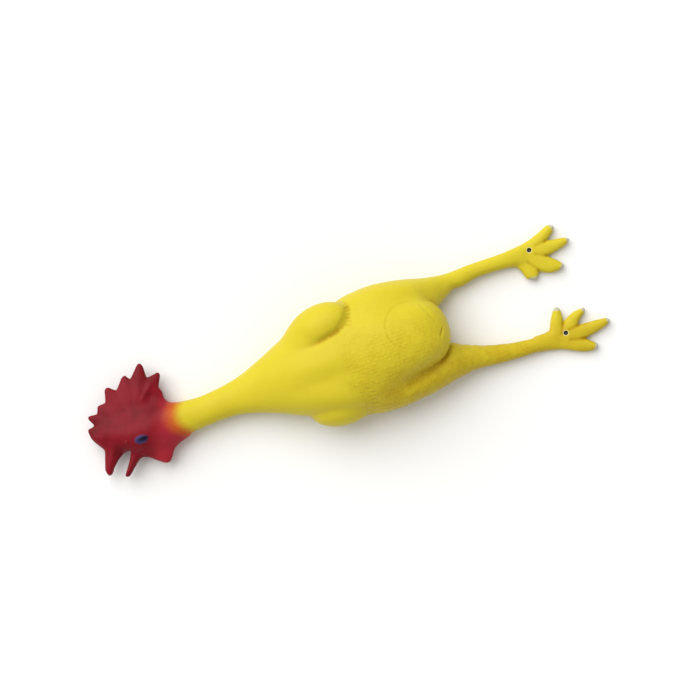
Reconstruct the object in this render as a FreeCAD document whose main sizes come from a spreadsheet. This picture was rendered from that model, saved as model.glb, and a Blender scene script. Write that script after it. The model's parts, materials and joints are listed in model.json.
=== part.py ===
import FreeCAD, Part

import math
import os

import Sketcher
from FreeCAD import Placement, Rotation, Vector

# A rubber chicken, plucked, lying on its back with its head turned flat on one cheek.
# The real thing is one hollow latex skin with a disc glued into the belly. Here the skin is
# divided where it bends: down the neck, at the hips, knees and ankles, and at each toe.
#
# Frame, millimetres: +X runs from the head to the feet, +Y is the chicken's left-hand leg,
# +Z is up, away from the table, and the origin is the middle of the bottom of the box.

doc = FreeCAD.newDocument("rubber_chicken")
sheet = doc.addObject("Spreadsheet::Sheet", "Dims")
next_row = 1


def cells(values):
    """Write named driving dimensions into the spreadsheet, one to a row."""
    global next_row
    for alias, value in values.items():
        sheet.set(f"A{next_row}", alias)
        sheet.set(f"B{next_row}", str(value))
        sheet.setAlias(f"B{next_row}", alias)
        next_row += 1


# ---------------------------------------------------------------- driving dimensions

cells({
    "wall": 1.8,            # latex skin
    "slot": 0.4,            # running gap left at each bend
    "half_edge": 0.1,       # half width of the edge of each bend, along its hinge side
    "spare_angle": 1.0,     # added to half the travel of a bend, in degrees
    "neck_travel": 40,
    "head_travel": 30,
    "hip_travel": 40,
    "knee_travel": 35,
    "ankle_travel": 40,
    "toe_travel": 25,
    "beak_travel": 16,
    "big": 600,             # larger than the chicken
    "patch_x": 67.6,        # closing disc in the belly
    "patch_y": 13,
    "patch_radius": 21.85,
    "patch_gap": 0.15,
    "vent_x": 94.5,         # blow hole, a slit in the rump
    "vent_y": -1,
    "vent_width": 1.2,
    "vent_length": 8,
    "palm_thickness": 9,
    "foot_hole_radius": 2,
    "flap_z": 15,           # middle of the comb and the wattle
    "comb_thickness": 7,
    "wattle_thickness": 9,
    "pocket_length": 14,    # room in the skull for the lower beak's root
    "pocket_width": 14,
    "pocket_depth": 40,
})

# The trunk, from inside the skull to inside the rump: x, left edge, right edge, top, underside
TRUNK = {
    "skull_root": (-190, 10, -21, 26, 4),
    "nape": (-172, 14.5, -22.5, 27.5, 0.4),
    "throat": (-160, 11.5, -20, 27, 0.4),
    "upper_neck": (-145, 10.3, -18.2, 26, 0.4),
    "middle_neck": (-125, 12, -17.5, 27, 0.4),
    "lower_neck": (-108, 15, -18.2, 30, 0.4),
    "collar": (-90, 21, -22, 37, 0.3),
    "crop": (-65, 31.7, -31.8, 50, -0.6),
    "breast": (-45, 40, -39.5, 59, -1.6),
    "wing_line": (-20, 47.5, -46.5, 67, -2),
    "waist": (10, 52.5, -51.5, 71, -2),
    "loin": (38, 45, -43, 69, -1.5),
    "trunk_end": (62, 30, -28, 60, 6),
}

# Each leg, from inside the thigh to inside the palm: x, outer edge, inner edge, top, underside.
# A point is further from the middle line on the outer edge.
LEGS = {
    "left": {
        "thigh_root": (62, 52, 30, 31, 9.2),
        "stifle": (78, 54, 23, 31.2, 0.4),
        "drumstick": (100, 51, 21, 30.2, 0.4),
        "gaskin": (111, 49.5, 28.3, 21.4, 0.4),
        "tendon": (121, 49.5, 33.5, 16.2, 0.4),
        "hock": (130, 50, 32.7, 17.5, 0.4),
        "shank_top": (142, 50.6, 36, 14.8, 0.4),
        "shank_middle": (160, 50.9, 37, 14.1, 0.4),
        "shank_end": (182, 51, 35.6, 13.4, 0.4),
        "sole": (196, 52.5, 34, 8.6, 0.4),
    },
    "right": {
        "thigh_root": (62, -51, -29, 31, 9.2),
        "stifle": (78, -53.5, -23, 30.7, 0.4),
        "drumstick": (101, -48.5, -16.5, 32.2, 0.4),
        "gaskin": (112, -46.6, -20.2, 26.6, 0.4),
        "tendon": (124, -47, -24.6, 22.6, 0.4),
        "hock": (132, -47.3, -27.3, 20.2, 0.4),
        "shank_top": (142, -47.8, -30, 18, 0.4),
        "shank_middle": (160, -48.6, -33.5, 15.3, 0.4),
        "shank_end": (182, -49, -35.2, 14, 0.4),
        "sole": (196, -51, -34, 8.6, 0.4),
    },
}
HOLLOW_LEG_STATIONS = 9     # the last station, in the palm, is solid rubber

# Rounded lumps: centre x, y, z and half sizes x, y, z. Only the pads of the feet are solid rubber.
LUMPS = {
    "skull": (-207, -6, 15, 37, 21, 15),
    "rump": (50, 1, 36, 54, 47, 38),
    "left_haunch": (50, 41, 27.5, 52, 18.5, 27.1),
    "right_haunch": (48, -40, 26.5, 50, 17.5, 26.1),
    "left_wing_lobe": (-14, 40, 43, 31, 16.5, 18),
    "right_wing_lobe": (-16, -40, 43, 29, 17, 18),
    "left_pad": (200, 43, 4.5, 17, 12, 7),
    "right_pad": (209, -42, 4.5, 17, 11.5, 7),
}
WING_TURN = {"left_wing_lobe": 13, "right_wing_lobe": -10}

# Flat flaps in the plane of the head, as corners of their outlines. The comb is saw-toothed
# from the nape over to the beak, and the wattle hangs from the throat.
COMB = {
    "comb_heel": (-176, 18),
    "comb_notch_0": (-175, 30),
    "comb_tip_1": (-172, 43.5),
    "comb_notch_1": (-183.5, 41.5),
    "comb_tip_2": (-186.5, 57),
    "comb_notch_2": (-199, 45),
    "comb_tip_3": (-204, 51),
    "comb_notch_3": (-214, 40.5),
    "comb_tip_4": (-223, 45),
    "comb_notch_4": (-227, 31.5),
    "comb_tip_5": (-235.5, 30.2),
    "comb_notch_5": (-238.5, 24.8),
    "comb_tip_6": (-248, 24),
    "comb_notch_6": (-244.5, 16),
    "comb_tip_7": (-252.8, 11.5),
    "comb_brow": (-249, 1),
    "comb_face": (-241, -10),
    "comb_inside_front": (-224, -6),
    "comb_inside_back": (-190, -6),
}
WATTLE = {
    "wattle_root_front": (-207, -22),
    "wattle_front": (-202.5, -31),
    "wattle_fold": (-195.5, -36.5),
    "wattle_tip_front": (-190, -39.3),
    "wattle_tip_back": (-186.5, -38.7),
    "wattle_back": (-182, -32),
    "wattle_root_back": (-176.5, -25.5),
    "wattle_inside_back": (-177, -15),
    "wattle_inside_front": (-203, -12),
}

# Tapered fingers of solid rubber: start x, y, tip x, y, start radius, tip radius, height of
# the start and of the tip
FINGERS = {
    "upper_beak": (-233, -12, -245.2, -32.2, 9.5, 2.3, 15, 15),
    "lower_beak": (-213.5, -22, -229.3, -38.3, 5.8, 2.1, 14, 14),
    "left_outer_toe": (205, 51.5, 226, 60.4, 5.4, 2.8, 5.6, 3),
    "left_middle_toe": (203, 43.3, 237.3, 44.3, 6, 2.6, 6.2, 2.8),
    "left_inner_toe": (203, 38, 224.5, 22.4, 5.6, 2.3, 5.8, 2.5),
    "left_back_toe": (198.6, 40, 197.4, 20.4, 5.6, 3, 5.8, 3.2),
    "right_outer_toe": (209, -47.5, 232.2, -60.9, 5.6, 2.3, 5.8, 2.5),
    "right_middle_toe": (212, -43, 250.4, -40.9, 6.2, 2.4, 6.4, 2.6),
    "right_inner_toe": (211.5, -36.5, 231.3, -24.6, 5.4, 2.2, 5.6, 2.4),
    "right_back_toe": (203, -36, 208, -17.2, 5.6, 2.9, 5.8, 3.1),
}
FOOT_HOLES = {"left": (200.3, 46), "right": (209.2, -39.8)}

# Where the skin bends: pivot x, y, z, which way the moving side lies in plan (degrees from
# +X), whether the hinge line stands up ("Z") or lies flat across the limb ("flat"), and travel
BENDS = {
    "neck_base": (-88, -0.5, 18.5, 180, "flat", "neck_travel"),
    "neck_swing": (-115, -1.8, 14.5, 180, "Z", "neck_travel"),
    "neck_lift": (-140, -3.8, 13.5, 180, "flat", "neck_travel"),
    "head_nod": (-166, -4.5, 14, 180, "Z", "head_travel"),
    "beak_pinch": (-217.2, -25.8, 14, 226, "Z", "beak_travel"),
    "hip": (116, 0, 11, 0, "flat", "hip_travel"),
    "left_knee": (142, 43.3, 7.7, 0, "Z", "knee_travel"),
    "right_knee": (142, -38.9, 9.3, 0, "Z", "knee_travel"),
    "left_ankle": (182, 43.3, 6.9, 0, "flat", "ankle_travel"),
    "right_ankle": (184, -42.2, 7.2, 0, "flat", "ankle_travel"),
}
TOE_ROOTS = {               # distance along each toe, from its start, of the bend at its root
    "left_outer_toe": 11,
    "left_middle_toe": 15,
    "left_inner_toe": 11,
    "left_back_toe": 12.5,
    "right_outer_toe": 14.5,
    "right_middle_toe": 14,
    "right_inner_toe": 10,
    "right_back_toe": 11.5,
}

STATION_COLUMNS = ("x", "left", "right", "top", "base")
LEG_COLUMNS = ("x", "outer", "inner", "top", "base")
LUMP_COLUMNS = ("x", "y", "z", "half_x", "half_y", "half_z")
FINGER_COLUMNS = ("x", "y", "tip_x", "tip_y", "radius", "tip_radius", "z", "tip_z")


def table(rows, columns, prefix=""):
    """Write a table into the spreadsheet as cells named ROW_COLUMN."""
    for row, values in rows.items():
        for column, value in zip(columns, values):
            cells({f"{prefix}{row}_{column}": value})


table(TRUNK, STATION_COLUMNS)
for side, stations in LEGS.items():
    table(stations, LEG_COLUMNS, side + "_")
table(LUMPS, LUMP_COLUMNS)
table(COMB, ("x", "y"))
table(WATTLE, ("x", "y"))
table(FINGERS, FINGER_COLUMNS)
table({side + "_foot_hole": spot for side, spot in FOOT_HOLES.items()}, ("x", "y"))
table({name: bend[:4] for name, bend in BENDS.items()}, ("x", "y", "z", "heading"))
cells({toe + "_root": distance for toe, distance in TOE_ROOTS.items()})
doc.recompute()


def dim(alias):
    return float(sheet.get(alias))


# ---------------------------------------------------------------- helpers

def make(kind, name, **sizes):
    """A document object whose sizes are bound to spreadsheet expressions."""
    thing = doc.addObject(kind, name)
    for prop, expression in sizes.items():
        thing.setExpression(prop, expression)
    return thing


def put(thing, x, y, z, rotation=None):
    """Bind a thing's place to spreadsheet expressions and turn it."""
    if rotation:
        thing.Placement = Placement(Vector(), rotation)
    for axis, expression in zip("xyz", (x, y, z)):
        thing.setExpression(f"Placement.Base.{axis}", expression)
    return thing


def boolean(kind, name, base, tool):
    result = doc.addObject(kind, name)
    result.Base = base
    result.Tool = tool
    return result


def cut(name, base, tool):
    return boolean("Part::Cut", name, base, tool)


def in_turn(kind, name, things):
    """One boolean after another, which is sounder on these curved faces than all at once."""
    result = things[0]
    for number, tool in enumerate(things[1:], start=1):
        step = name if number == len(things) - 1 else f"{name}_step_{number}"
        result = boolean(kind, step, result, tool)
    return result


def join(name, things):
    return in_turn("Part::Fuse", name, things)


def overlap(name, things):
    return in_turn("Part::Common", name, things)


ACROSS = Rotation(Vector(1, 1, 1), 120)      # an ellipse's own X and Y become the frame's Y and Z


def tube(name, stations, left, right, inset):
    """A smooth solid through upright elliptical stations, set in from them by inset."""
    rings = []
    for station in stations:
        side_1, side_2 = f"Dims.{station}_{left}", f"Dims.{station}_{right}"
        top, base = f"Dims.{station}_top", f"Dims.{station}_base"
        ring = make(
            "Part::Ellipse", f"{name}_{station}",
            MajorRadius=f"abs({side_1} - {side_2}) / 2 - {inset}",
            MinorRadius=f"({top} - {base}) / 2 - {inset}",
        )
        put(ring, f"Dims.{station}_x", f"({side_1} + {side_2}) / 2", f"({top} + {base}) / 2", ACROSS)
        rings.append(ring)
    loft = doc.addObject("Part::Loft", name)
    loft.Sections = rings
    loft.Solid = True
    loft.MaxDegree = 3
    loft.Ruled = len(rings) < len(TRUNK)     # the short rings of a leg are joined by straight cones
    return loft


def lump(name, inset="0"):
    """An ellipsoid from the table of lumps, set in by inset."""
    ball = make(
        "Part::Ellipsoid", name + ("_hollow" if inset != "0" else "_lump"),
        Radius1=f"Dims.{name}_half_z - {inset}",
        Radius2=f"Dims.{name}_half_x - {inset}",
        Radius3=f"Dims.{name}_half_y - {inset}",
    )
    turn = Rotation(Vector(0, 0, 1), WING_TURN.get(name, 0))
    return put(ball, f"Dims.{name}_x", f"Dims.{name}_y", f"Dims.{name}_z", turn)


def slab(name, low, high):
    """Everything between two heights, or beside the middle line."""
    box = make("Part::Box", name, Length="Dims.big", Width="Dims.big", Height=f"{high} - ({low})")
    return put(box, "-Dims.big / 2", "-Dims.big / 2", low)


def pivot_frame(direction, hinge):
    """Local Y along the limb, local Z along the hinge line."""
    return Rotation(direction.cross(hinge), direction, hinge, "YZX")


def wedge(name, base, direction, hinge, travel):
    """The room that the rubber on one side of a bend may fill and still bend by travel."""
    keep = make(
        "Part::Wedge", name,
        Ymin="Dims.slot / 2",
        Ymax="Dims.big",
        Xmin="-Dims.half_edge",
        Xmax="Dims.half_edge",
        X2min=f"-Dims.half_edge - Dims.big / tan(Dims.{travel} / 2 + Dims.spare_angle)",
        X2max=f"Dims.half_edge + Dims.big / tan(Dims.{travel} / 2 + Dims.spare_angle)",
        Zmin="-Dims.big / 2",
        Zmax="Dims.big / 2",
        Z2min="-Dims.big / 2",
        Z2max="Dims.big / 2",
    )
    return put(keep, *base, pivot_frame(direction, hinge))


def bend_room(name, near):
    """The wedge on the near (trunk) side or the far side of one of the bends in the table."""
    heading, line, travel = BENDS[name][3:]
    angle = math.radians(heading)
    direction = Vector(math.cos(angle), math.sin(angle), 0)
    hinge = Vector(0, 0, 1) if line == "Z" else Vector(0, 0, 1).cross(direction)
    base = [f"Dims.{name}_{axis}" for axis in "xyz"]
    side = "near" if near else "far"
    return wedge(f"{name}_{side}", base, direction * (-1 if near else 1), hinge, travel)


def finger(name):
    """A tapered finger with a round tip, from the table of fingers."""
    x, y, z = (dim(f"{name}_{axis}") for axis in "xyz")
    tip_x, tip_y, tip_z = (dim(f"{name}_tip_{axis}") for axis in "xyz")
    turn = Rotation(Vector(0, 0, 1), Vector(tip_x - x, tip_y - y, tip_z - z))
    squares = [f"(Dims.{name}_tip_{axis} - Dims.{name}_{axis})^2" for axis in "xyz"]
    cone = make(
        "Part::Cone", name + "_cone",
        Radius1=f"Dims.{name}_radius",
        Radius2=f"Dims.{name}_tip_radius",
        Height=f"sqrt({' + '.join(squares)})",
    )
    put(cone, *[f"Dims.{name}_{axis}" for axis in "xyz"], turn)
    ball = make("Part::Sphere", name + "_tip", Radius=f"Dims.{name}_tip_radius")
    put(ball, *[f"Dims.{name}_tip_{axis}" for axis in "xyz"])
    return join(name + "_solid", [cone, ball])


def flap(name, corners):
    """A flat plate in the plane of the head, padded from a sketch whose corners are in the sheet."""
    body = doc.addObject("PartDesign::Body", name + "_body")
    sketch = body.newObject("Sketcher::SketchObject", name + "_outline")
    plane = next(feature for feature in body.Origin.OriginFeatures if feature.Role == "XY_Plane")
    sketch.AttachmentSupport = [(plane, "")]
    sketch.MapMode = "FlatFace"
    labels = list(corners)
    following = labels[1:] + labels[:1]
    for label, after in zip(labels, following):
        sketch.addGeometry(Part.LineSegment(Vector(*corners[label], 0), Vector(*corners[after], 0)))
    for index, label in enumerate(labels):
        sketch.addConstraint(Sketcher.Constraint("Coincident", index, 2, (index + 1) % len(labels), 1))
        for kind, axis, value in zip(("DistanceX", "DistanceY"), "xy", corners[label]):
            number = sketch.addConstraint(Sketcher.Constraint(kind, index, 1, value))
            sketch.setExpression(f"Constraints[{number}]", f"Dims.{label}_{axis}")
    pad = body.newObject("PartDesign::Pad", name + "_pad")
    pad.Profile = sketch
    pad.setExpression("Length", f"Dims.{name}_thickness")
    body.setExpression("Placement.Base.z", f"Dims.flap_z - Dims.{name}_thickness / 2")
    return body


# ---------------------------------------------------------------- the whole skin

parts = {}                  # node name to the object that is that sub-part

HOLLOW_LUMPS = ("skull", "rump", "left_haunch", "right_haunch")
outside = [tube("trunk", TRUNK, "left", "right", "0")]
inside = [tube("trunk_hollow", TRUNK, "left", "right", "Dims.wall")]
outside += [lump(name) for name in HOLLOW_LUMPS]
inside += [lump(name, "Dims.wall") for name in HOLLOW_LUMPS]
for side, stations in LEGS.items():
    names = [f"{side}_{station}" for station in stations]
    outside.append(tube(f"{side}_leg", names, "outer", "inner", "0"))
    hollow = names[:HOLLOW_LEG_STATIONS]
    inside.append(tube(f"{side}_leg_hollow", hollow, "outer", "inner", "Dims.wall"))
solid_body = join("solid_body", outside)
air = join("air", inside)
above_table = slab("above_table", "0", "Dims.big")
above_skin = slab("above_skin", "Dims.wall", "Dims.big")
flat_backed = overlap("flat_backed", [solid_body, above_table])
skin = cut("skin", flat_backed, overlap("air_above_skin", [air, above_skin]))

half_space = {}
for side, sign in (("left", 0), ("right", 1)):
    box = make("Part::Box", side + "_half", Length="Dims.big", Width="Dims.big", Height="Dims.big")
    half_space[side] = put(box, "0", f"-{sign} * Dims.big", "0")

# ---------------------------------------------------------------- torso, patch and wings

patch_opening = make(
    "Part::Cylinder", "patch_opening",
    Radius="Dims.patch_radius + Dims.patch_gap",
    Height="Dims.big",
)
put(patch_opening, "Dims.patch_x", "Dims.patch_y", "Dims.rump_z")
patch_core = make("Part::Cylinder", "patch_core", Radius="Dims.patch_radius", Height="Dims.big")
put(patch_core, "Dims.patch_x", "Dims.patch_y", "Dims.rump_z")
vent_slit = make(
    "Part::Box", "vent_slit",
    Length="Dims.vent_width",
    Width="Dims.vent_length",
    Height="Dims.big",
)
put(vent_slit, "Dims.vent_x", "Dims.vent_y - Dims.vent_length / 2", "Dims.rump_z")

torso_room = [bend_room("neck_base", near=True), bend_room("hip", near=True)]
trunk_skin = overlap("trunk_skin", [skin] + torso_room)
parts["torso"] = cut("torso_shell", trunk_skin, join("belly_openings", [patch_opening, vent_slit]))
parts["belly_patch"] = overlap("patch_disc", [trunk_skin, patch_core])

for wing in ("left_wing", "right_wing"):
    lobe_skin = cut(wing + "_skin", lump(wing + "_lobe"), lump(wing + "_lobe", "Dims.wall"))
    parts[wing] = cut(wing + "_relief", lobe_skin, solid_body)

# ---------------------------------------------------------------- neck and head

NECK = ("neck_base", "neck_swing", "neck_lift", "head_nod")
for node, near_trunk, near_head in zip(("neck_lower", "neck_middle", "neck_upper"), NECK, NECK[1:]):
    room = [skin, bend_room(near_trunk, near=False), bend_room(near_head, near=True)]
    parts[node] = overlap(node + "_skin", room)

# A pocket in the skull, as wide as the lower beak, that the beak's root turns in
pocket = make(
    "Part::Box", "beak_pocket",
    Length="Dims.pocket_width", Width="Dims.pocket_length", Height="Dims.pocket_depth",
)
beak_angle = math.radians(dim("beak_pinch_heading"))
beak_way = Vector(math.cos(beak_angle), math.sin(beak_angle), 0)
beak_side = beak_way.cross(Vector(0, 0, 1))
pivot = Vector(*[dim(f"beak_pinch_{axis}") for axis in "xyz"])
corner = pivot - beak_side * (dim("pocket_width") / 2) - beak_way * (dim("pocket_length") / 2)
corner.z -= dim("pocket_depth") / 2
pocket.Placement = Placement(corner, pivot_frame(beak_way, Vector(0, 0, 1)))
beak_clearance = cut("beak_clearance", pocket, bend_room("beak_pinch", near=True))
head_room = bend_room("head_nod", near=False)
parts["head"] = cut("head_skin", overlap("skull_skin", [skin, head_room]), beak_clearance)

upper_beak_solid = finger("upper_beak")
comb_hosts = join("comb_hosts", [solid_body, upper_beak_solid])
parts["comb"] = cut("comb_blade", flap("comb", COMB), comb_hosts)
parts["wattle"] = cut("wattle_flap", flap("wattle", WATTLE), solid_body)
parts["upper_beak"] = cut("upper_beak_horn", upper_beak_solid, solid_body)
lower_beak_room = bend_room("beak_pinch", near=False)
parts["lower_beak"] = overlap("lower_beak_horn", [finger("lower_beak"), lower_beak_room])

# ---------------------------------------------------------------- legs and feet

for side, (hole_x, hole_y) in FOOT_HOLES.items():
    half = half_space[side]
    thigh_room = [skin, half]
    thigh_room += [bend_room("hip", near=False), bend_room(side + "_knee", near=True)]
    parts[side + "_thigh"] = overlap(side + "_thigh_skin", thigh_room)
    shank_room = [skin, half]
    shank_room += [bend_room(side + "_knee", near=False), bend_room(side + "_ankle", near=True)]
    parts[side + "_shank"] = overlap(side + "_shank_skin", shank_room)

    sole = overlap(side + "_sole", [skin, half, bend_room(side + "_ankle", near=False)])
    pad_top = slab(side + "_pad_top", "0", "Dims.palm_thickness")
    palm_pieces = [sole, overlap(side + "_pad", [lump(side + "_pad"), pad_top])]
    for toe in (f"{side}_{place}_toe" for place in ("outer", "middle", "inner", "back")):
        run = Vector(*[dim(f"{toe}_tip_{axis}") - dim(f"{toe}_{axis}") for axis in "xy"], 0)
        share = dim(toe + "_root") / run.Length
        direction = run.normalize()
        hinge = Vector(0, 0, 1).cross(direction)
        base = [f"Dims.{toe}_{a} + {share} * (Dims.{toe}_tip_{a} - Dims.{toe}_{a})" for a in "xyz"]
        whole_toe = finger(toe)
        far = wedge(toe + "_far", base, direction, hinge, "toe_travel")
        near = wedge(toe + "_near", base, direction * -1, hinge, "toe_travel")
        parts[toe] = overlap(toe + "_flexing", [whole_toe, far])
        palm_pieces.append(overlap(toe + "_root_end", [whole_toe, near]))
    foot_hole = make(
        "Part::Cylinder", side + "_foot_hole",
        Radius="Dims.foot_hole_radius",
        Height="Dims.big",
    )
    put(foot_hole, f"Dims.{side}_foot_hole_x", f"Dims.{side}_foot_hole_y", "-Dims.big / 2")
    palm = join(side + "_palm_solid", palm_pieces)
    parts[side + "_palm"] = cut(side + "_palm_rubber", palm, foot_hole)

# ---------------------------------------------------------------- check and write

doc.recompute()
for thing in doc.Objects:
    if {"Invalid", "Error"} & set(thing.State):
        raise RuntimeError(f"{thing.Name} failed: {thing.State}")

for node, thing in parts.items():
    thing.Label = node
    shape = thing.Shape
    if shape.isNull() or not shape.isValid() or not shape.Solids:
        raise RuntimeError(f"{node} has no valid solid")

os.makedirs("parts", exist_ok=True)
for node, thing in parts.items():
    thing.Shape.exportStep(f"parts/{node}.step")
    box = thing.Shape.BoundBox
    print(f"{node:18s} solids {len(thing.Shape.Solids)} volume {thing.Shape.Volume:9.1f}"
          f"  x {box.XMin:7.1f} {box.XMax:7.1f}  y {box.YMin:6.1f} {box.YMax:6.1f}"
          f"  z {box.ZMin:5.2f} {box.ZMax:5.1f}")
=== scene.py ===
import json
import math

import bpy
import numpy as np
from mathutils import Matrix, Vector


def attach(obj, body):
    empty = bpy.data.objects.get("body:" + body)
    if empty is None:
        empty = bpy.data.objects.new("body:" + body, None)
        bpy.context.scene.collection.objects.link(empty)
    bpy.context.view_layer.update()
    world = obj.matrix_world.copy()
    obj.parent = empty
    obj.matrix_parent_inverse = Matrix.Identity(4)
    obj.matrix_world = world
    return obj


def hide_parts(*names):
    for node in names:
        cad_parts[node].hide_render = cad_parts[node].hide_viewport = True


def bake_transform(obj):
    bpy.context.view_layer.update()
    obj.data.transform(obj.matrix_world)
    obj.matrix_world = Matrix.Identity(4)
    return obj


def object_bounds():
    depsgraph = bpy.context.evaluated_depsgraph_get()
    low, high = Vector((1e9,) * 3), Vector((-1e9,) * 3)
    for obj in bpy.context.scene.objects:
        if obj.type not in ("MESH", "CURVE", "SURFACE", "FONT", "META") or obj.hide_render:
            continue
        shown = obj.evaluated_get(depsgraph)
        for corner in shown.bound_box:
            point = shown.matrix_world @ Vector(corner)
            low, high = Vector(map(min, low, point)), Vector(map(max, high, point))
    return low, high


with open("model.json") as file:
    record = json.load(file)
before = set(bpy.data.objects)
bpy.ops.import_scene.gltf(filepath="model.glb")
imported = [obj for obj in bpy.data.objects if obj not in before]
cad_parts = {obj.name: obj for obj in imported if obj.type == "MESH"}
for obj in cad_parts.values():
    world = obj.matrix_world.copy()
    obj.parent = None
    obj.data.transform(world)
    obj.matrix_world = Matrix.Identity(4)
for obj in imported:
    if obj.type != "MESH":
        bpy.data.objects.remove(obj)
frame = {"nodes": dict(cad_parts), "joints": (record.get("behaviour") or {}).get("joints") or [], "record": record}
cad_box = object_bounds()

import openvdb
from mathutils import Vector

# The sculpt works in millimetres in the CAD model's frame: +X from head to feet, +Z up from the table.
MM = 0.001
JOINT = {j["name"]: np.array(j["pos_m"]) / MM for j in frame["joints"]}
BORES = [m for m in frame["record"]["mounts"] if m["kind"] == "bore"]

# ---- Measures that shape the whole sculpt ----
STEP = 0.75          # spacing of the sampled surface
REACH = 12.0         # how far round a shape its distance is worked out
FINE_BAND = 6.0      # the distance is worked out at every sample this near to the surface
PLAN_CELL = 0.5      # spacing of the samples of an outline's distance
TUBE_POWER = 2.2     # section of the trunk and legs, where 2 is an ellipse and more is squarer
TUBE_CAP = 6.0       # rounding of their ends
FLAT_EDGE = 1.5      # rounding where the rubber rests on the table
HEAD_MIDDLE = 14.0   # height of the mid-plane of the head, which lies on its cheek
BUMP_PITCH = 3.3     # spacing of the plucked goose-bumps
BUMP_HEIGHT = 0.46
BUMP_JITTER = np.array([0.8, 0.3, 0.5])  # share of a cell that a bump strays by, least across its row
BUMP_RADIUS = 0.4    # share of the pitch
CREASE_DEPTH = 0.09  # share of STEP that a point sinks below its neighbours where the painted crease shade is at its fullest
CREASE_SPREAD = 3    # rounds of softening of the painted crease shade
RELAX_ROUNDS = 3     # of evening out the sampled points
MOUTH_EDGE = 1.8     # rounding of the corners of the mouth
BORE_EDGE = 0.6      # rounding of the rims of the punched holes
TINY = 1e-3          # keeps the middle of a shape off zero


# ---- Curves and blends ----
def curve(*stations):
    """A smooth line through (place, value) stations, as a function of the place."""
    step = 0.5
    places, values = np.array(stations, float).T
    slopes = np.gradient(values, places)
    fine = np.arange(places[0], places[-1] + step, step)
    i = np.clip(np.searchsorted(places, fine, side="right") - 1, 0, len(places) - 2)
    run = places[i + 1] - places[i]
    t = np.clip((fine - places[i]) / run, 0, 1)
    line = values[i] * (2 * t**3 - 3 * t**2 + 1) + values[i + 1] * (3 * t**2 - 2 * t**3)
    line += run * (slopes[i] * (t**3 - 2 * t**2 + t) + slopes[i + 1] * (t**3 - t**2))
    return lambda x: np.interp(x, fine, line)


def ease(x, start, end):
    """0 before start, 1 after end and a smooth rise in between."""
    t = np.clip((x - start) / (end - start), 0, 1)
    return t * t * (3 - 2 * t)


def smooth_min(a, b, k):
    """The smaller of two distances, which run into each other over a rounding of k."""
    h = np.clip(0.5 + 0.5 * (b - a) / k, 0, 1)
    return b * (1 - h) + a * h - k * h * (1 - h)


def smooth_max(a, b, k):
    """The larger of two distances, rounded in the same way."""
    return -smooth_min(-a, -b, k)


def to_segment(p, a, b):
    """Distance from the points to the segment a-b, and how far along it each one is, from 0 to 1."""
    a, b = np.array(a, float), np.array(b, float)
    along = np.clip((p - a) @ (b - a) / ((b - a) @ (b - a)), 0, 1)
    return np.linalg.norm(p - a - along[:, None] * (b - a), axis=1), along


# ---- Shapes: each one is (distance function, lowest corner, highest corner) ----
def ball(centre, radii, yaw=0.0, dip=0.0, power=2.0):
    """An ellipsoid, or a squarer form of it with a power above 2.

    Its -X end is dipped, and then it is turned about the vertical.
    """
    centre, radii = np.array(centre, float), np.array(radii, float)
    c, s = math.cos(math.radians(yaw)), math.sin(math.radians(yaw))
    cd, sd = math.cos(math.radians(dip)), math.sin(math.radians(dip))
    dipped = np.array([[cd, 0, sd], [0, 1, 0], [-sd, 0, cd]])
    turn = dipped @ np.array([[c, s, 0], [-s, c, 0], [0, 0, 1]])

    def distance(p):
        q = (p - centre) @ turn.T + TINY
        share = (np.abs(q / radii) ** power).sum(1) ** (1 / power)
        return (share - 1) * np.linalg.norm(q, axis=1) / share

    return distance, centre - radii.max(), centre + radii.max()


def tube(left, right, top, bottom, start, end):
    """A body along X between two side outlines, a top and a bottom, each a function of x."""

    def distance(p):
        x = np.clip(p[:, 0], start, end)
        half_y, half_z = (left(x) - right(x)) / 2, (top(x) - bottom(x)) / 2
        y = p[:, 1] - left(x) + half_y + TINY
        z = p[:, 2] - top(x) + half_z
        share = np.abs(y / half_y) ** TUBE_POWER + np.abs(z / half_z) ** TUBE_POWER
        share = share ** (1 / TUBE_POWER)
        side = (share - 1) * np.hypot(y, z) / share
        past = np.maximum(start - p[:, 0], p[:, 0] - end)
        return smooth_max(side, past, TUBE_CAP)

    x = np.linspace(start, end, 50)
    low = np.array([start, right(x).min(), bottom(x).min()])
    high = np.array([end, left(x).max(), top(x).max()])
    return distance, low, high


def softened(outline, growth, rounds=3):
    """Distance to an outline on the plan, negative inside, with its corners rounded off.

    The outline is first moved outwards by growth, to make up for what the rounding takes away.
    """
    outline = np.array(outline, float)
    low, high = outline.min(0) - REACH, outline.max(0) + REACH
    nx, ny = np.ceil((high - low) / PLAN_CELL).astype(int) + 1
    spots = low + np.indices((nx, ny)).reshape(2, -1).T * PLAN_CELL
    gap, inside = np.full(len(spots), np.inf), np.zeros(len(spots), bool)
    for a, b in zip(outline, np.roll(outline, -1, 0)):
        gap = np.minimum(gap, to_segment(spots, a, b)[0])
        if a[1] != b[1]:
            crosses = (a[1] > spots[:, 1]) != (b[1] > spots[:, 1])
            at = a[0] + (spots[:, 1] - a[1]) * (b[0] - a[0]) / (b[1] - a[1])
            inside ^= crosses & (spots[:, 0] < at)
    edge = np.where(inside, -gap, gap).reshape(nx, ny) - growth
    for _ in range(rounds):
        for axis in (0, 1):
            edge = (edge + np.roll(edge, 1, axis) + np.roll(edge, -1, axis)) / 3

    def distance(p):
        u = (p[:, :2] - low) / PLAN_CELL
        i = np.clip(np.floor(u).astype(int), 0, [nx - 2, ny - 2])
        (ix, iy), (fx, fy) = i.T, np.clip(u - i, 0, 1).T
        near = edge[ix, iy] * (1 - fx) + edge[ix + 1, iy] * fx
        far = edge[ix, iy + 1] * (1 - fx) + edge[ix + 1, iy + 1] * fx
        return near * (1 - fy) + far * fy

    return distance


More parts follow.
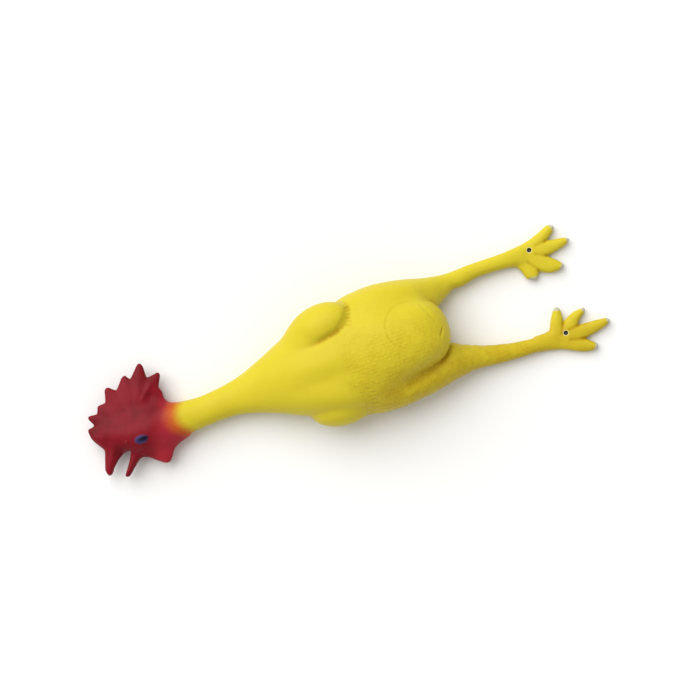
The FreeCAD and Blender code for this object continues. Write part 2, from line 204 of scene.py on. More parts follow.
def flap(outline, rim, slope, most, middle, growth, rounds=3, evened=3):
    """A leaf of rubber about the height of middle.

    Half its thickness is rim at its edge, and swells inwards by slope, up to most. The swelling follows
    the outline as it looks after evened rounds of softening, so more rounds leave fewer ridges.
    """
    edge = softened(outline, growth, rounds)
    hill = softened(outline, growth, evened)

    def distance(p):
        e = edge(p)
        swell = (most - rim) * (1 - np.exp(-slope * np.maximum(-hill(p), 0) / (most - rim)))
        across, up = e + rim, np.abs(p[:, 2] - middle) - swell
        outside = np.hypot(np.maximum(across, 0), np.maximum(up, 0))
        return outside + np.minimum(np.maximum(across, up), 0) - rim

    plan = np.array(outline)
    return distance, np.append(plan.min(0), middle - most), np.append(plan.max(0), middle + most)


# ---- Trunk and neck ----
trunk = tube(
    left=curve((-194, 12), (-180, 15), (-160, 11.5), (-145, 10.3), (-125, 12), (-100, 17.2), (-75, 27),
               (-50, 38), (-38, 42), (-20, 47), (0, 50.5), (20, 52), (40, 50), (60, 44), (80, 34),
               (100, 10)),
    right=curve((-194, -20), (-180, -24), (-160, -20), (-140, -18), (-112, -17.5), (-98, -20),
                (-75, -27.5), (-50, -38), (-38, -42), (-20, -46.5), (0, -50), (20, -50), (40, -44),
                (60, -36), (80, -27), (100, -10)),
    top=curve((-194, 27), (-180, 28), (-160, 27), (-145, 26), (-125, 27), (-108, 30), (-90, 37),
              (-65, 49), (-45, 58), (-20, 65), (10, 68.5), (38, 68.5), (62, 62), (80, 50), (100, 25)),
    bottom=curve((-194, 1), (-180, 0), (-100, 0), (-60, -1.5), (60, -1.5), (100, 4)),
    start=-194, end=98)
belly = ball((52, 3, 35), (52, 37, 35.5), power=2.4)


# ---- Folded wings, and the breast muscles ----
left_wing = ball((-12.5, 36.6, 43.5), (34, 21.6, 22), yaw=11, dip=21)
right_arm = ball((-20, -25.5, 36), (42, 16, 23.5), yaw=-15, dip=14)
right_wing = ball((-16.5, -42, 29), (28.5, 16, 22), yaw=-6, dip=10)


def mound(p, start, end, width):
    """A long soft hill that fades out towards both ends of its line."""
    off, along = to_segment(p[:, :2], start, end)
    return np.exp(-((off / width) ** 2)) * np.sin(np.pi * along) ** 2


def swelling(p):
    """How far the two breast muscles push the trunk outwards."""
    breast = 1.7 * mound(p, (-90, 2), (30, 6), 12) - 0.8 * mound(p, (-60, -8), (30, -12), 7)
    return breast * ease(p[:, 2], 20, 40)


SWELL_ROOM = 9
bare_trunk, trunk_low, trunk_high = trunk
trunk = (lambda p: bare_trunk(p) - swelling(p), trunk_low - SWELL_ROOM, trunk_high + SWELL_ROOM)

# ---- Legs ----
left_leg = tube(
    left=curve((-5, 46), (15, 56), (30, 59), (45, 60.2), (60, 59), (75, 56.5), (100, 51), (115, 49.3),
               (140, 50.5), (170, 50.9), (196, 52)),
    right=curve((-5, 20), (20, 20), (45, 22), (70, 24), (85, 24), (100, 21.5), (110, 27.5),
                (120, 32.8), (130, 33.2), (140, 35.8), (160, 37), (175, 36.3), (196, 35)),
    top=curve((-5, 30), (20, 50), (45, 55), (70, 50), (85, 44), (100, 33.5), (110, 25), (120, 20),
              (130, 18.6), (142, 16.4), (160, 15), (180, 13), (196, 10)),
    bottom=curve((-5, 0), (196, 0)),
    start=-5, end=196)
right_leg = tube(
    left=curve((-5, -20), (45, -21), (70, -22), (85, -21), (95, -18), (102, -15), (110, -19),
               (120, -23), (130, -26.8), (140, -29.5), (160, -33.5), (175, -35), (196, -34.5)),
    right=curve((-5, -46), (15, -56), (35, -58), (50, -57.5), (62, -56), (75, -54), (87, -51.5),
                (100, -48.5), (115, -46.5), (140, -47.7), (160, -48.5), (182, -49), (200, -52)),
    top=curve((-5, 30), (25, 46), (45, 48), (70, 43), (85, 40), (100, 36), (110, 31), (120, 26),
              (130, 22.5), (142, 19), (160, 16), (180, 13.6), (200, 10)),
    bottom=curve((-5, 0), (200, 0)),
    start=-5, end=200)

# ---- Feet: the outline of each foot lying flat ----
FOOT = {"rim": 1.7, "slope": 1.5, "most": 4.9, "middle": 4.6, "growth": 0.5}
left_foot = flap(
    ((180, 50.6), (190, 51.6), (197, 53.2), (205, 55.3), (215, 59), (222, 62.4), (226, 63), (229, 61.5),
     (229.5, 59), (226, 55.4), (222, 52.4), (217.5, 49.5), (223, 48.6), (230, 47.8), (237, 46.7),
     (240.2, 44.5), (238, 42), (232, 39.5), (225, 37.8), (218, 36.8), (214.5, 36), (217.4, 33),
     (222, 29.5), (226, 25), (227.8, 22.5), (226.5, 20.3), (222, 19.6), (215, 19.4), (210, 21),
     (203.4, 24.6), (202, 22), (200, 18.6), (198.5, 17.2), (196, 17.8), (191, 20.6), (189.3, 24),
     (188, 29), (184.5, 35), (180, 36.4)),
    **FOOT)
right_foot = flap(
    ((180, -34.9), (190, -35), (195, -34.2), (197, -31), (199.5, -25), (203, -19), (205.5, -15),
     (208, -13.8), (210.2, -15.2), (211, -19), (210.7, -25), (209.4, -31), (212, -28.8), (217, -25.8),
     (222, -23.6),
     (228, -22.6), (232.4, -22), (233.8, -23.6), (232, -26.5), (228, -29.5), (224, -32.8), (223, -36.5),
     (228, -37), (240, -37.4), (251, -38.4), (253.4, -41), (252, -43), (245, -45.7), (235, -48.2),
     (224, -50), (227, -52.2), (231, -55.6), (235, -59.2), (235.2, -61), (233, -62.6), (228, -63.1),
     (222, -62), (215, -59.5), (208, -56), (200, -52.6), (190, -49.6), (180, -48.8)),
    **FOOT)
TOES = {  # the tip of each toe, and how far past its hinge it starts to bend
    "left_outer_toe": ((228, 61.2), 0.3),
    "left_middle_toe": ((239, 44.5), 0.3),
    "left_inner_toe": ((226.3, 21.6), 0.3),
    "left_back_toe": ((197.5, 18.6), 2.5),
    "right_outer_toe": ((233.8, -61), 0.3),
    "right_middle_toe": ((252, -40.9), 0.3),
    "right_inner_toe": ((232.3, -23.4), 0.3),
    "right_back_toe": ((208, -15.2), 0.3),
}
CLEFTS = (  # from between two toes to where the hollow between them fades out on the palm
    ((217.5, 49.5), (208, 48)), ((214.5, 36), (205, 40.5)), ((203.4, 24.6), (196, 35)),
    ((209.4, -31), (205, -40)), ((223, -36.5), (214, -38)), ((224, -50), (212, -47.5)))

# ---- Head ----
skull = ball((-202, -5, HEAD_MIDDLE + 0.5), (28, 19, 15))
brow = ball((-222, -1, HEAD_MIDDLE), (20, 11, 10.5), yaw=-25)
COMB_OUTLINE = (
    (-174.4, 17), (-173.8, 25.8), (-175.8, 31.2), (-170.6, 41.8), (-171.6, 44.6), (-184, 42),
    (-183.8, 54.5), (-185.8, 58.4), (-188.6, 56.8), (-199, 45.2), (-202.6, 51.4), (-206, 50),
    (-214.5, 39.4), (-221.6, 45.6), (-224.8, 44.2), (-227.6, 32), (-236, 31.2), (-238.4, 24),
    (-247.6, 24.8), (-248.2, 22.6), (-243.4, 14), (-251.8, 12.9), (-251.6, 8), (-248, 0.5),
    (-241, -9), (-222, -14), (-190, -8), (-176, 4))
COMB_NOTCHES = ((-184, 42.2), (-199, 45.6), (-214.5, 39.6), (-227.8, 32), (-238.8, 24), (-243.8, 14.2))
COMB_TIPS = ((-172, 43), (-186, 55), (-203.5, 49), (-222.5, 43.5), (-235, 30), (-246.5, 23), (-250, 11))
comb = flap(COMB_OUTLINE, rim=2.3, slope=0.34, most=9, middle=HEAD_MIDDLE, growth=0.4, rounds=7,
            evened=70)
upper_beak = flap(
    ((-250.4, 5), (-248.4, 0.5), (-241.8, -9.5), (-247.8, -28.8), (-246.4, -34.6), (-243.4, -34.8),
     (-239.3, -30), (-232.6, -23.4), (-225, -17.8), (-219.4, -16.8), (-206, -12), (-210, 8), (-236, 12)),
    rim=2.4, slope=0.75, most=11, middle=HEAD_MIDDLE, growth=0.3, rounds=8)
lower_beak = flap(
    ((-219.4, -17.5), (-224.2, -28), (-231.6, -38.4), (-230.6, -41.2), (-227.4, -41), (-216.5, -31),
     (-210, -25.6), (-200, -24), (-200, -8), (-214, -10)),
    rim=2.4, slope=0.7, most=9, middle=HEAD_MIDDLE, growth=0.3, rounds=8)
mouth = softened(
    ((-219.6, -18.2), (-225, -18.8), (-232.6, -23.6), (-239.2, -30.2), (-240, -46), (-231, -38),
     (-224.2, -28), (-219.4, -19.4)),
    growth=0.2)
MOUTH_END = -210     # the mouth is cut into the head on the -X side of this
wattle = flap(
    ((-211, -24), (-204.2, -29.2), (-196.5, -35.7), (-190.6, -39.8), (-186.6, -39.8), (-183.2, -35.7),
     (-178.8, -28.8), (-172.6, -24), (-162, -20.4), (-165, -8), (-205, -10)),
    rim=2.2, slope=0.6, most=11, middle=HEAD_MIDDLE, growth=0.3, rounds=8)
EYE, EYE_HEIGHT = np.array([-204.8, -11.0]), 14.2  # the height is from the head's mid-plane
NOSTRIL, NOSTRIL_HEIGHT = np.array([-219.2, -9.5]), 12.0
eyes = [ball((*EYE, HEAD_MIDDLE + side * EYE_HEIGHT), (6.6, 4.2, 2.4)) for side in (1, -1)]
nostrils = [ball((*NOSTRIL, HEAD_MIDDLE + side * NOSTRIL_HEIGHT), (1.9, 1.7, 1.6)) for side in (1, -1)]

# ---- The whole bird: each shape, and its rounding into those before it, a number or a function of x ----
SCULPT = [
    (trunk, 6), (belly, 10), (left_wing, lambda x: 12 - 10 * ease(x, -44, -12)),
    (right_arm, lambda x: 10 - 6 * ease(x, -6, 10)), (right_wing, 4.5),
    (left_leg, lambda x: 14 - 10 * ease(x, 82, 97)),
    (right_leg, lambda x: 12 - 6 * ease(x, 25, 72) - 3 * ease(x, 84, 96)),
    (skull, 8), (brow, 9), (comb, 9), (upper_beak, 4), (lower_beak, 3.5), (wattle, 7)]
SCULPT += [(shape, 0.9) for shape in eyes] + [(shape, 1.2) for shape in nostrils]
SCULPT += [(left_foot, 3), (right_foot, 3)]


def bird(p):
    """Distance from the rubber's outer surface, negative inside."""
    total = np.full(len(p), REACH)
    for (distance, low, high), k in SCULPT:
        near = np.all((p > low - REACH) & (p < high + REACH), axis=1)
        if near.any():
            q = p[near]
            total[near] = smooth_min(total[near], distance(q), k(q[:, 0]) if callable(k) else k)
    in_head = p[:, 0] < MOUTH_END
    total[in_head] = smooth_max(total[in_head], -mouth(p[in_head]), MOUTH_EDGE)
    for bore in BORES:
        off = np.linalg.norm(p[:, :2] - np.array(bore["pos_m"][:2]) / MM, axis=1)
        total = smooth_max(total, bore["dims"]["r_mm"] - off, BORE_EDGE)
    return smooth_max(total, -p[:, 2], FLAT_EDGE)


def slope_of(p, reach=0.2):
    """The gradient of the bird's distance at the points."""
    steps = np.array([[1, 1, 1], [1, -1, -1], [-1, 1, -1], [-1, -1, 1]])
    return sum(step * bird(p + step * reach)[:, None] for step in steps) / (4 * reach)


# ---- Sampling the surface ----
def sampled(low, high):
    """Points and quads of the bird's surface, from a grid that is fine near the surface only."""
    coarse = 4  # samples to a side of the rough cells, each of which has one value at first
    counts = (np.ceil((high - low) / (STEP * coarse)).astype(int) + 1) * coarse
    index = np.indices(counts // coarse).reshape(3, -1).T
    rough = bird(low + (index * coarse + coarse / 2) * STEP).reshape(counts // coarse)
    dense = rough.repeat(coarse, 0).repeat(coarse, 1).repeat(coarse, 2).astype(np.float32)
    near = np.argwhere(np.abs(dense) < FINE_BAND)
    dense[tuple(near.T)] = bird(low + near * STEP)
    grid = openvdb.FloatGrid(REACH)
    grid.copyFromArray(dense)
    points, quads = grid.convertToQuads(0.0)
    return low + points.astype(float) * STEP, quads.astype(int)


def neighbour_mean(points, quads):
    """The mean of each point's neighbours along the quads' edges."""
    ends = np.concatenate([quads[:, [i, (i + 1) % 4]] for i in range(4)])
    total, count = np.zeros_like(points), np.bincount(ends.ravel(), minlength=len(points))
    for axis in range(3):
        total[:, axis] = np.bincount(ends[:, 0], points[ends[:, 1], axis], len(points))
        total[:, axis] += np.bincount(ends[:, 1], points[ends[:, 0], axis], len(points))
    return total / np.maximum(count, 1)[:, None]


def settle(points):
    """The points moved onto the surface, by at most 1 mm in each of two steps."""
    for _ in range(2):
        g = slope_of(points)
        points = points - np.clip(bird(points) / (g * g).sum(1), -1, 1)[:, None] * g
    return points


def unit(v):
    """The vectors at a length of 1."""
    return v / np.maximum(np.linalg.norm(v, axis=1), 1e-9)[:, None]


def vertex_normals(points, quads):
    """Each point's normal, from the quads that meet there."""
    a, b, c, d = (points[quads[:, i]] for i in range(4))
    facing = np.cross(c - a, d - b)
    total = np.zeros_like(points)
    for axis in range(3):
        total[:, axis] = sum(np.bincount(quads[:, i], facing[:, axis], len(points)) for i in range(4))
    return unit(total)


# ---- Fine relief, as heights along the surface's normal ----
def goose_bumps(p):
    """Rows of small pimples, one in each cell of a jittered lattice, where the bird was plucked.

    They start behind the wings, and are lower on the feet and on the left side.
    """
    x, y = p[:, 0], p[:, 1]
    on = ease(x, -12, 6) * (1 - 0.8 * ease(x, 165, 190)) * (1 - 0.55 * ease(y, -10, 30))
    cell = np.floor(p / BUMP_PITCH)
    nearest = np.full(len(p), np.inf)
    for offset in np.ndindex(3, 3, 3):
        corner = cell + np.array(offset) - 1
        seed = corner @ np.array([127.1, 311.7, 74.7])  # a fixed scramble of the cell's place
        jitter = np.stack([np.sin(seed * k) * 43758.5453 % 1 for k in (1.0, 1.7, 2.3)], 1)
        centre = (corner + 0.5 + BUMP_JITTER * (jitter - 0.5)) * BUMP_PITCH
        nearest = np.minimum(nearest, np.linalg.norm(p - centre, axis=1))
    return on * BUMP_HEIGHT * np.exp(-((nearest / (BUMP_RADIUS * BUMP_PITCH)) ** 2))


def groove(p, line, width, depth):
    """A valley along a line of points drawn on the plan, or a ridge with a negative depth."""
    off = np.min([to_segment(p[:, :2], a, b)[0] for a, b in zip(line, line[1:])], axis=0)
    return -depth * np.exp(-((off / width) ** 2))


DISC_MIDDLE, DISC_RADIUS = np.array([67.6, 13.0]), 22.0  # the closing disc, whose rim shows faintly
RIM_WIDTH, RIM_DEPTH, RIM_WORN = 1.1, 0.3, 0.8  # worn is the share lost on the side towards the feet
LEFT_WING_CREASE = ((-38, 23.5), (-27, 23), (-16.5, 24), (3, 29), (13.5, 38), (17.5, 46))
MARKS = [  # on the upper side: a line on the plan, its width, and its depth, negative for a ridge
    (((93, -5), (96.4, 0.5)), 0.7, 1.3),       # the vent
    (((84, 27), (92, 10)), 1.6, 0.35),         # an arc across the rump
    (((88, -24), (54, -38)), 7, 1.3),          # the fold under the belly
    (((88, -38), (50, -46)), 6, -0.8),         # the thigh beside that fold
    (((95.6, -6), (98.2, 1)), 1.6, -0.35)]     # the lip of the vent
MARKS += [(cleft, 1.6, 0.55) for cleft in CLEFTS]
FEATHER_TIPS = 6     # behind each wing
COMB_ROOT = np.array([-207, 5])  # where the comb's spines and folds would meet
SPINE_START, FOLD_START = 0.45, 0.55  # share of the way from there to a tip or a notch
COMB_PLEAT = ((-192.6, 25), (-182.6, 35))
COMB_DIMPLE, DIMPLE_RADII, DIMPLE_DEPTH = (-186, 25), (5, 4.5), 1.3


def feather_tips():
    """Marks for the feather tips behind the left wing and the right."""
    tips = []
    for k in range(FEATHER_TIPS):
        x = 12.5 + 4.5 * math.sin(math.radians(18 * k)) + 0.7 * math.sin(1.9 * k)
        y = 31.5 + 3.1 * k
        tips.append((((x, y), (x + 3.4, y - 1.4 + 0.4 * k)), 0.7, 0.38))
    for k in range(FEATHER_TIPS):
        x = 13 + 1.5 * math.sin(2.3 * k)
        y = -31 - 3.6 * k
        tips.append((((x, y), (x + 4.5, y - 1)), 0.9, 0.4))
    return tips


def comb_folds(p):
    """A soft spine up each spike of the comb, a fold down from each notch, one pleat, and a dimple."""
    height = groove(p, COMB_PLEAT, 2.3, -0.75)
    for tip in COMB_TIPS:
        root = COMB_ROOT + (np.array(tip) - COMB_ROOT) * SPINE_START
        height += groove(p, (root, tip), 2.0, -0.12) * ease(p[:, 1], 8, 16)
    for notch in COMB_NOTCHES:
        root = COMB_ROOT + (np.array(notch) - COMB_ROOT) * FOLD_START
        height += groove(p, (root, notch), 1.8, 0.12)
    away = (p[:, :2] - COMB_DIMPLE) / DIMPLE_RADII
    return height - DIMPLE_DEPTH * np.exp(-(away**2).sum(1))


def relief(p, n):
    """How far the fine relief stands out at points whose normals are n."""
    up = ease(n[:, 2], 0.05, 0.4)
    from_rim = np.abs(np.linalg.norm(p[:, :2] - DISC_MIDDLE, axis=1) - DISC_RADIUS)
    worn = RIM_WORN * ease(p[:, 0] - p[:, 1] / 3, 52, 72)
    marked = -RIM_DEPTH * (1 - worn) * np.exp(-((from_rim / RIM_WIDTH) ** 2))
    marked += groove(p, LEFT_WING_CREASE, 3.0, 1.2) * ease(p[:, 0], -44, -16)
    for line, width, depth in MARKS + feather_tips():
        marked += groove(p, line, width, depth)
    return goose_bumps(p) + up * marked + comb_folds(p)


# ---- The surface ----
ROOM = 3             # left round the CAD model's box for the sampled surface
CLAW_REACH = 6       # a claw lies within this distance of its toe's tip
CLAW_EDGE = (-2.8, -0.8)  # where it starts and where it is full, measured forwards from the tip


def relaxed(points, quads):
    """The points slid along the surface, so that they are more evenly spread."""
    for _ in range(RELAX_ROUNDS):
        drift = neighbour_mean(points, quads) - points
        n = unit(slope_of(points))
        points = settle(points + drift - (drift * n).sum(1)[:, None] * n)
    return points


def painted_crease_shade(points, quads, normals):
    """Painted shade for each point, from 0 on the open skin to 1 at the bottom of a crease."""
    sink = ((neighbour_mean(points, quads) - points) * normals).sum(1)
    dark = np.clip(sink / (CREASE_DEPTH * STEP), 0, 1)
    for _ in range(CREASE_SPREAD):
        dark = neighbour_mean(dark[:, None] * np.ones(3), quads)[:, 0]
    return dark


def claws(p):
    """1 on the claws at the toe tips, and 0 elsewhere."""
    on = np.zeros(len(p))
    for name, (tip, _) in TOES.items():
        root = JOINT[name + "_curl"][:2]
        ahead = (p[:, :2] - tip) @ ((tip - root) / np.linalg.norm(tip - root))
        close = np.linalg.norm(p[:, :2] - tip, axis=1) < CLAW_REACH
        on = np.maximum(on, close * ease(ahead, *CLAW_EDGE))
    return on


low = np.array(cad_box[0]) / MM - ROOM
high = np.array(cad_box[1]) / MM + ROOM
points, quads = sampled(low, high)
rest = relaxed(points, quads)
normals = unit(slope_of(rest))
points = rest + relief(rest, normals)[:, None] * normals
points[:, 2] = np.maximum(points[:, 2], 0)
normals = vertex_normals(points, quads)
# Painted shade, darkest at the bottom of each crease.
crease_shade = painted_crease_shade(points, quads, normals)
nail = claws(rest)

# ---- Materials ----
YELLOW = (0.6, 0.495, 0.024, 1)
# Deep yellow, used for the painted shade in the creases and on the right flank, and for the darker random clouds.
YELLOW_SHADE_AND_MOTTLE = (0.42, 0.25, 0.003, 1)
ORANGE = (0.5, 0.1, 0.012, 1)
SCARLET = (0.34, 0.018, 0.03, 1)
CRIMSON = (0.22, 0.006, 0.014, 1)
CRIMSON_DARK = (0.15, 0.004, 0.009, 1)
EYE_BLUE = (0.035, 0.03, 0.11, 1)
PUPIL = (0.006, 0.002, 0.012, 1)
CLAW = (0.5, 0.48, 0.36, 1)
PALE_RIM = (0.76, 0.68, 0.3, 1)        # a pale ring round a punched hole
HOLE_PAINTED_SHADE = (0.008, 0.005, 0.002, 1)    # painted shade on the hole's wall, standing for the dark inside of the hole
PAPER = (0.86, 0.86, 0.86, 1)
EYE_RADII = (6.4, 4.0)
PUPIL_OFFSET, PUPIL_RADII = (1.8, 0.3), (5.0, 1.9)
PALE_RIM_WIDTH, HOLE_SHADE_WIDTH = 0.8, 0.25  # how far the pale rim and the hole's painted shade reach past a hole's edge


class Nodes:
    """Short names for the shader nodes that the materials are built from."""

    def __init__(self, material):
        material.use_nodes = True
        self.tree = material.node_tree
        self.tree.nodes.clear()

    def add(self, kind, **inputs):
        """A node, with inputs given by the words of their names in small letters, such as base_color."""
        node = self.tree.nodes.new(kind)
        for name, value in inputs.items():
            self.set(node.inputs[name.replace("_", " ").title()], value)
        return node

    def set(self, socket, value):
        if isinstance(value, bpy.types.NodeSocket):
            self.tree.links.new(value, socket)
        else:
            socket.default_value = value

    def math(self, operation, a, b=0.0):
        node = self.tree.nodes.new("ShaderNodeMath")
        node.operation = operation
        self.set(node.inputs[0], a)
        self.set(node.inputs[1], b)
        return node.outputs[0]

    def plus(self, a, b):
        return self.math("ADD", a, b)

    def minus(self, a, b):
        return self.math("SUBTRACT", a, b)

    def times(self, a, b):
        return self.math("MULTIPLY", a, b)

    def mix(self, factor, a, b):
        """Colour a where factor is 0, and colour b where it is 1."""
        node = self.tree.nodes.new("ShaderNodeMix")
        node.data_type = "RGBA"
        self.set(node.inputs[0], factor)
        self.set(node.inputs[6], a)
        self.set(node.inputs[7], b)
        return node.outputs[2]

    def ramp(self, value, start, end):
        """0 to 1 as value goes from start to end, smoothly."""
        node = self.tree.nodes.new("ShaderNodeMapRange")
        node.interpolation_type = "SMOOTHSTEP"
        for socket, x in zip(node.inputs, (value, start, end)):
            self.set(socket, x)
        return node.outputs[0]

    def attribute(self, name, output="Fac"):
        """What the mesh holds under that name, point by point."""
        node = self.tree.nodes.new("ShaderNodeAttribute")
        node.attribute_name = name
        return node.outputs[output]

    def noise(self, where, scale, detail=3.0, roughness=0.55):
        kind = "ShaderNodeTexNoise"
        return self.add(kind, vector=where, scale=scale, detail=detail, roughness=roughness).outputs[0]

    def oval(self, x, y, centre, radii, soft):
        """1 inside an oval on the plan and 0 outside it."""
        u = self.times(self.minus(x, centre[0]), 1 / radii[0])
        v = self.times(self.minus(y, centre[1]), 1 / radii[1])
        share = self.math("SQRT", self.plus(self.times(u, u), self.times(v, v)))
        return self.ramp(share, 1 + soft, 1 - soft)


def yellow_with_painted_shade(nodes, x, y, cloud):
    """Yellow rubber, browned in soft clouds, with painted shade in the creases and along the right flank, which
    faces away from the light.
    """
    # Painted shade along the right flank, the side away from the light.
    flank_shade = nodes.times(nodes.ramp(y, -4.0, -46.0), nodes.ramp(x, -10.0, 50.0))
    # Painted shade in the creases, added to the darker random clouds.
    shade_and_mottle = nodes.plus(nodes.times(nodes.attribute("crease_shade"), 0.9), nodes.times(cloud, 0.5))
    shade_and_mottle = nodes.plus(shade_and_mottle, nodes.times(flank_shade, 0.32))
    return nodes.mix(nodes.ramp(shade_and_mottle, 0.2, 1.2), YELLOW, YELLOW_SHADE_AND_MOTTLE)


def sprayed_red(nodes, x, y, cloud):
    """Crimson, sprayed thinner and so brighter towards the throat."""
    throat = nodes.minus(x, nodes.times(y, 0.5))
    red = nodes.mix(nodes.ramp(cloud, 0.35, 0.7), CRIMSON, CRIMSON_DARK)
    return nodes.mix(nodes.ramp(throat, -194.0, -174.0), red, SCARLET)


def along_neck(nodes, x, y, mottle):
    """How far along the neck a point counts for the spray, which reaches further along its two edges."""
    off_middle = nodes.plus(y, 2.0)
    bow = nodes.times(nodes.times(off_middle, off_middle), 0.035)
    uneven = nodes.times(nodes.minus(mottle, 0.5), 4.0)
    return nodes.plus(nodes.minus(x, bow), uneven)


def painted_latex(name):
    """Soft moulded latex: yellow, sprayed crimson on the head, with eyes, claws, pale-rimmed holes, and painted
    shade in the creases, on the right flank and inside the holes.
    """
    material = bpy.data.materials.new(name)
    nodes = Nodes(material)
    where = nodes.attribute("rest", "Vector")
    axes = nodes.add("ShaderNodeSeparateXYZ", vector=where)
    x, y = axes.outputs[0], axes.outputs[1]
    cloud = nodes.noise(where, 0.045)
    mottle = nodes.noise(where, 0.35, detail=5.0)

    along = along_neck(nodes, x, y, mottle)
    base = nodes.mix(nodes.ramp(along, -159.0, -174.0), yellow_with_painted_shade(nodes, x, y, cloud), ORANGE)
    base = nodes.mix(nodes.ramp(along, -169.0, -185.0), base, sprayed_red(nodes, x, y, cloud))
    base = nodes.mix(nodes.oval(x, y, EYE, EYE_RADII, 0.3), base, EYE_BLUE)
    base = nodes.mix(nodes.oval(x, y, EYE + PUPIL_OFFSET, PUPIL_RADII, 0.5), base, PUPIL)
    base = nodes.mix(nodes.ramp(nodes.attribute("nail"), 0.0, 1.0), base, CLAW)
    for bore in BORES:
        spot = np.array(bore["pos_m"][:2]) / MM
        rim_reach, shade_reach = (bore["dims"]["r_mm"] + past for past in (PALE_RIM_WIDTH, HOLE_SHADE_WIDTH))
        base = nodes.mix(nodes.oval(x, y, spot, (rim_reach, rim_reach), 0.1), base, PALE_RIM)
        # Painted shade over the hole's wall, for the dark inside of the hole.
        base = nodes.mix(nodes.oval(x, y, spot, (shade_reach, shade_reach), 0.06), base, HOLE_PAINTED_SHADE)

    fine = nodes.noise(where, 2.2, detail=6.0, roughness=0.6)
    bump = nodes.add("ShaderNodeBump", strength=0.22, distance=0.0002, height=fine)
    shine = nodes.plus(0.34, nodes.times(mottle, 0.12))
    shader = nodes.add(
        "ShaderNodeBsdfPrincipled", base_color=base, roughness=shine, normal=bump.outputs[0],
        subsurface_weight=0.12, subsurface_radius=(1.0, 0.6, 0.2), subsurface_scale=0.003,
        sheen_weight=0.02)
    shader.inputs["Specular IOR Level"].default_value = 0.11
    nodes.add("ShaderNodeOutputMaterial", surface=shader.outputs[0])
    return material


def floor_paper():
    """The matt white paper that the bird lies on."""
    material = bpy.data.materials.new("paper")
    nodes = Nodes(material)
    shader = nodes.add("ShaderNodeBsdfPrincipled", base_color=PAPER, roughness=0.9)
    nodes.add("ShaderNodeOutputMaterial", surface=shader.outputs[0])
    return material


# Both slots are painted in the same way, because the spray runs on from the red pieces to the yellow.
LATEX = {slot: painted_latex(slot) for slot in ("yellow_latex", "red_latex")}

# ---- Splitting the surface into pieces, which meet at shared points ----
middle = rest[quads].mean(1)
mid_x, mid_y, mid_z = middle.T
piece_of = np.full(len(quads), "torso", dtype=object)
bends = {}
PATCH_FROM = 20      # the belly's piece starts at this x and at this height
LEG_EDGE = {"left": 17, "right": 14}  # how far out from the middle line each leg begins
LEGS_APART = 106     # past this x, all that lies on one side is its leg
TOE_REACH, TOE_BEND = 12, 8  # how far out a toe's quads may lie, and the length of its bend
COLLAR_START = -166  # x where the head's features give way to the plain collar
JAW = (-233, -205)   # the lower beak lies between these
JAW_BEND = (-4, 5)   # from the hinge, along the beak, where the rubber starts and ends its bend
BEAK_WAY = unit(np.array([[-0.56, -0.83, 0]]))[0]  # the way the beak points
MOUTH_CORNER, WATTLE_CORNER = (-219, -14), (-206, -24)
CROWN, CROWN_RADII = (-205, -2), (34, 21)  # the comb lies outside this oval, and above its middle


def chain(links, sign, where):
    """Pieces along the neck or a leg, each given as its body, its joint and half the length of its bend.

    A piece begins where its joint starts to bend the rubber.
    """
    parent = "torso"
    for body, joint, half_bend in links:
        start, end = JOINT[joint].copy(), JOINT[joint].copy()
        start[0] -= sign * half_bend
        end[0] += sign * half_bend
        piece_of[where & (sign * (mid_x - start[0]) > 0)] = body
        bends[body] = (parent, body, start, end)
        parent = body


def split_toes(side, on_leg):
    """The toes of a foot, each with the quads nearest to its own line and past the start of its bend."""
    names = [name for name in TOES if name.startswith(side)]
    plan = middle[:, :2]
    off = np.array([to_segment(plan, JOINT[name + "_curl"][:2], TOES[name][0])[0] for name in names])
    for row, name in enumerate(names):
        root, (tip, past_hinge) = JOINT[name + "_curl"], TOES[name]
        forward = np.append(tip - root[:2], 0)
        forward /= np.linalg.norm(forward)
        start = root + forward * past_hinge
        nearest = (off.argmin(0) == row) & (off[row] < TOE_REACH)
        piece_of[nearest & ((middle - start) @ forward > 0) & on_leg] = name
        bends[name] = (side + "_foot", name, start, start + forward * TOE_BEND)


def near(shape, within=1.2):
    """Which quads lie on the surface of a shape."""
    distance, shape_low, shape_high = shape
    boxed = np.all((middle > shape_low - 2) & (middle < shape_high + 2), axis=1)
    found = np.zeros(len(middle), bool)
    found[boxed] = np.abs(distance(middle[boxed])) < within
    return found


def take(name, source, chosen):
    """A piece made of the chosen quads of another."""
    piece_of[(piece_of == source) & chosen] = name


chain((("neck_lower", "neck_base", 15), ("neck_middle", "neck_swing", 12),
       ("neck_upper", "neck_lift", 12), ("head", "head_nod", 13)), -1, mid_x < 0)
for side, sign in (("left", 1), ("right", -1)):
    on_leg = (sign * mid_y > LEG_EDGE[side]) & (mid_x > 0)
    on_leg |= (sign * mid_y > 0) & (mid_x > LEGS_APART)
    chain(((side + "_thigh", side + "_hip", 12.5), (side + "_shank", side + "_knee", 12.5),
           (side + "_foot", side + "_ankle", 10)), 1, on_leg)
    split_toes(side, on_leg)

take("left_wing", "torso", near(left_wing))
take("right_wing", "torso", near(right_wing))
take("belly_patch", "torso", near(belly, 0.9) & (mid_z > PATCH_FROM) & (mid_x > PATCH_FROM))

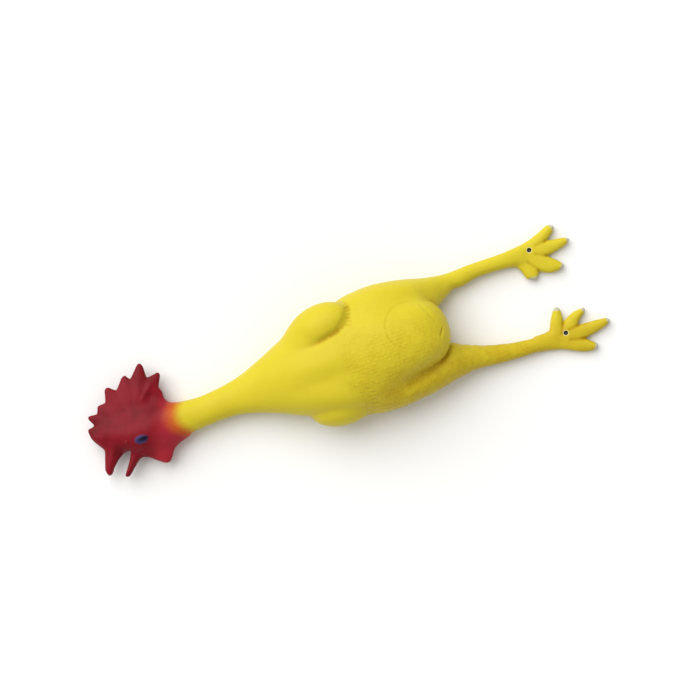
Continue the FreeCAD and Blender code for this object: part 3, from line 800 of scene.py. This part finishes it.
jaw_start, jaw_end = (JOINT["beak_pinch"] + BEAK_WAY * past for past in JAW_BEND)
from_crown = np.hypot(*((middle[:, :2] - CROWN) / CROWN_RADII).T)
take("collar", "head", mid_x > COLLAR_START)
take("lower_beak", "head",
     near(lower_beak, 2.5) & ((middle - jaw_start) @ BEAK_WAY > 0) & (mid_x > JAW[0]) & (mid_x < JAW[1]))
take("upper_beak", "head", (mid_x < MOUTH_CORNER[0]) & (mid_y < MOUTH_CORNER[1]))
take("wattle", "head", (mid_x > WATTLE_CORNER[0]) & (mid_y < WATTLE_CORNER[1]))
take("comb", "head", (from_crown > 1) & (mid_y > CROWN[1]))
for name in ("comb", "wattle", "upper_beak", "collar"):
    bends[name] = bends["head"]
bends["lower_beak"] = ("head", "lower_beak", jaw_start, jaw_end)


def skin(name, faces):
    """A mesh of those faces, in metres, with the whole surface's normals and what the materials read."""
    used, corners = np.unique(faces, return_inverse=True)
    mesh = bpy.data.meshes.new(name)
    mesh.from_pydata(points[used] * MM, [], corners.reshape(-1, 4).tolist())
    mesh.attributes.new("rest", "FLOAT_VECTOR", "POINT")
    mesh.attributes["rest"].data.foreach_set("vector", rest[used].astype(np.float32).ravel())
    # The first attribute holds painted shade in the creases; the second marks the claws.
    for label, values in (("crease_shade", crease_shade), ("nail", nail)):
        mesh.attributes.new(label, "FLOAT", "POINT")
        mesh.attributes[label].data.foreach_set("value", values[used].astype(np.float32))
    mesh.normals_split_custom_set_from_vertices(normals[used].tolist())
    made = bpy.data.objects.new(name, mesh)
    bpy.context.scene.collection.objects.link(made)
    return made


RED = ("head", "comb", "wattle", "upper_beak", "lower_beak")
STANDS_FOR = {"left_foot": "left_palm", "right_foot": "right_palm"}
for name in sorted(set(piece_of)):
    made = skin(name, quads[piece_of == name])
    slot = "red_latex" if name in RED else "yellow_latex"
    made.data.materials.append(LATEX[slot])
    if name in bends:
        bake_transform(made)
    else:
        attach(made, "torso")
    node = STANDS_FOR.get(name, name)
    if node in frame["nodes"]:
        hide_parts(node)

# ---- Floor and light ----
FLOOR_HALF = 6.0     # metres
FLOOR_GAP = 0.0004   # metres below the bird
KEY_WAY = Vector((-0.42, 0.8, 1.0))  # from the bird to the key light

floor_mesh = bpy.data.meshes.new("floor")
corners = [(-1, -1), (1, -1), (1, 1), (-1, 1)]
floor_mesh.from_pydata([(x * FLOOR_HALF, y * FLOOR_HALF, 0) for x, y in corners], [], [(0, 1, 2, 3)])
floor_mesh.materials.append(floor_paper())
floor = bpy.data.objects.new("floor", floor_mesh)
floor.location.z = cad_box[0].z - FLOOR_GAP
bpy.context.scene.collection.objects.link(floor)

world = bpy.data.worlds.new("studio")
world.use_nodes = True
background = world.node_tree.nodes["Background"]
background.inputs["Color"].default_value = (1, 0.98, 0.94, 1)
background.inputs["Strength"].default_value = 0.56
bpy.context.scene.world = world

key = bpy.data.objects.new("key", bpy.data.lights.new("key", "SUN"))
key.data.energy = 2.85
key.data.angle = 1.1
key.rotation_euler = (-KEY_WAY).to_track_quat("-Z", "Y").to_euler()
bpy.context.scene.collection.objects.link(key)

# ---- Camera: looks straight down, turned about the vertical ----
FIELD = 0.665        # metres across the view at the bird
LENS, SENSOR = 110.0, 36.0
TURN = math.radians(-18)
VIEW_MIDDLE = Vector((0.0086, 0.0083, 0.015))

camera_data = bpy.data.cameras.new("camera")
camera_data.lens = LENS
camera_data.sensor_width = SENSOR
camera = bpy.data.objects.new("camera", camera_data)
camera.location = VIEW_MIDDLE + Vector((0, 0, FIELD * LENS / SENSOR))
camera.rotation_euler = (0, 0, TURN)
bpy.context.scene.collection.objects.link(camera)
bpy.context.scene.camera = camera

bpy.context.scene.view_settings.view_transform = "Standard"
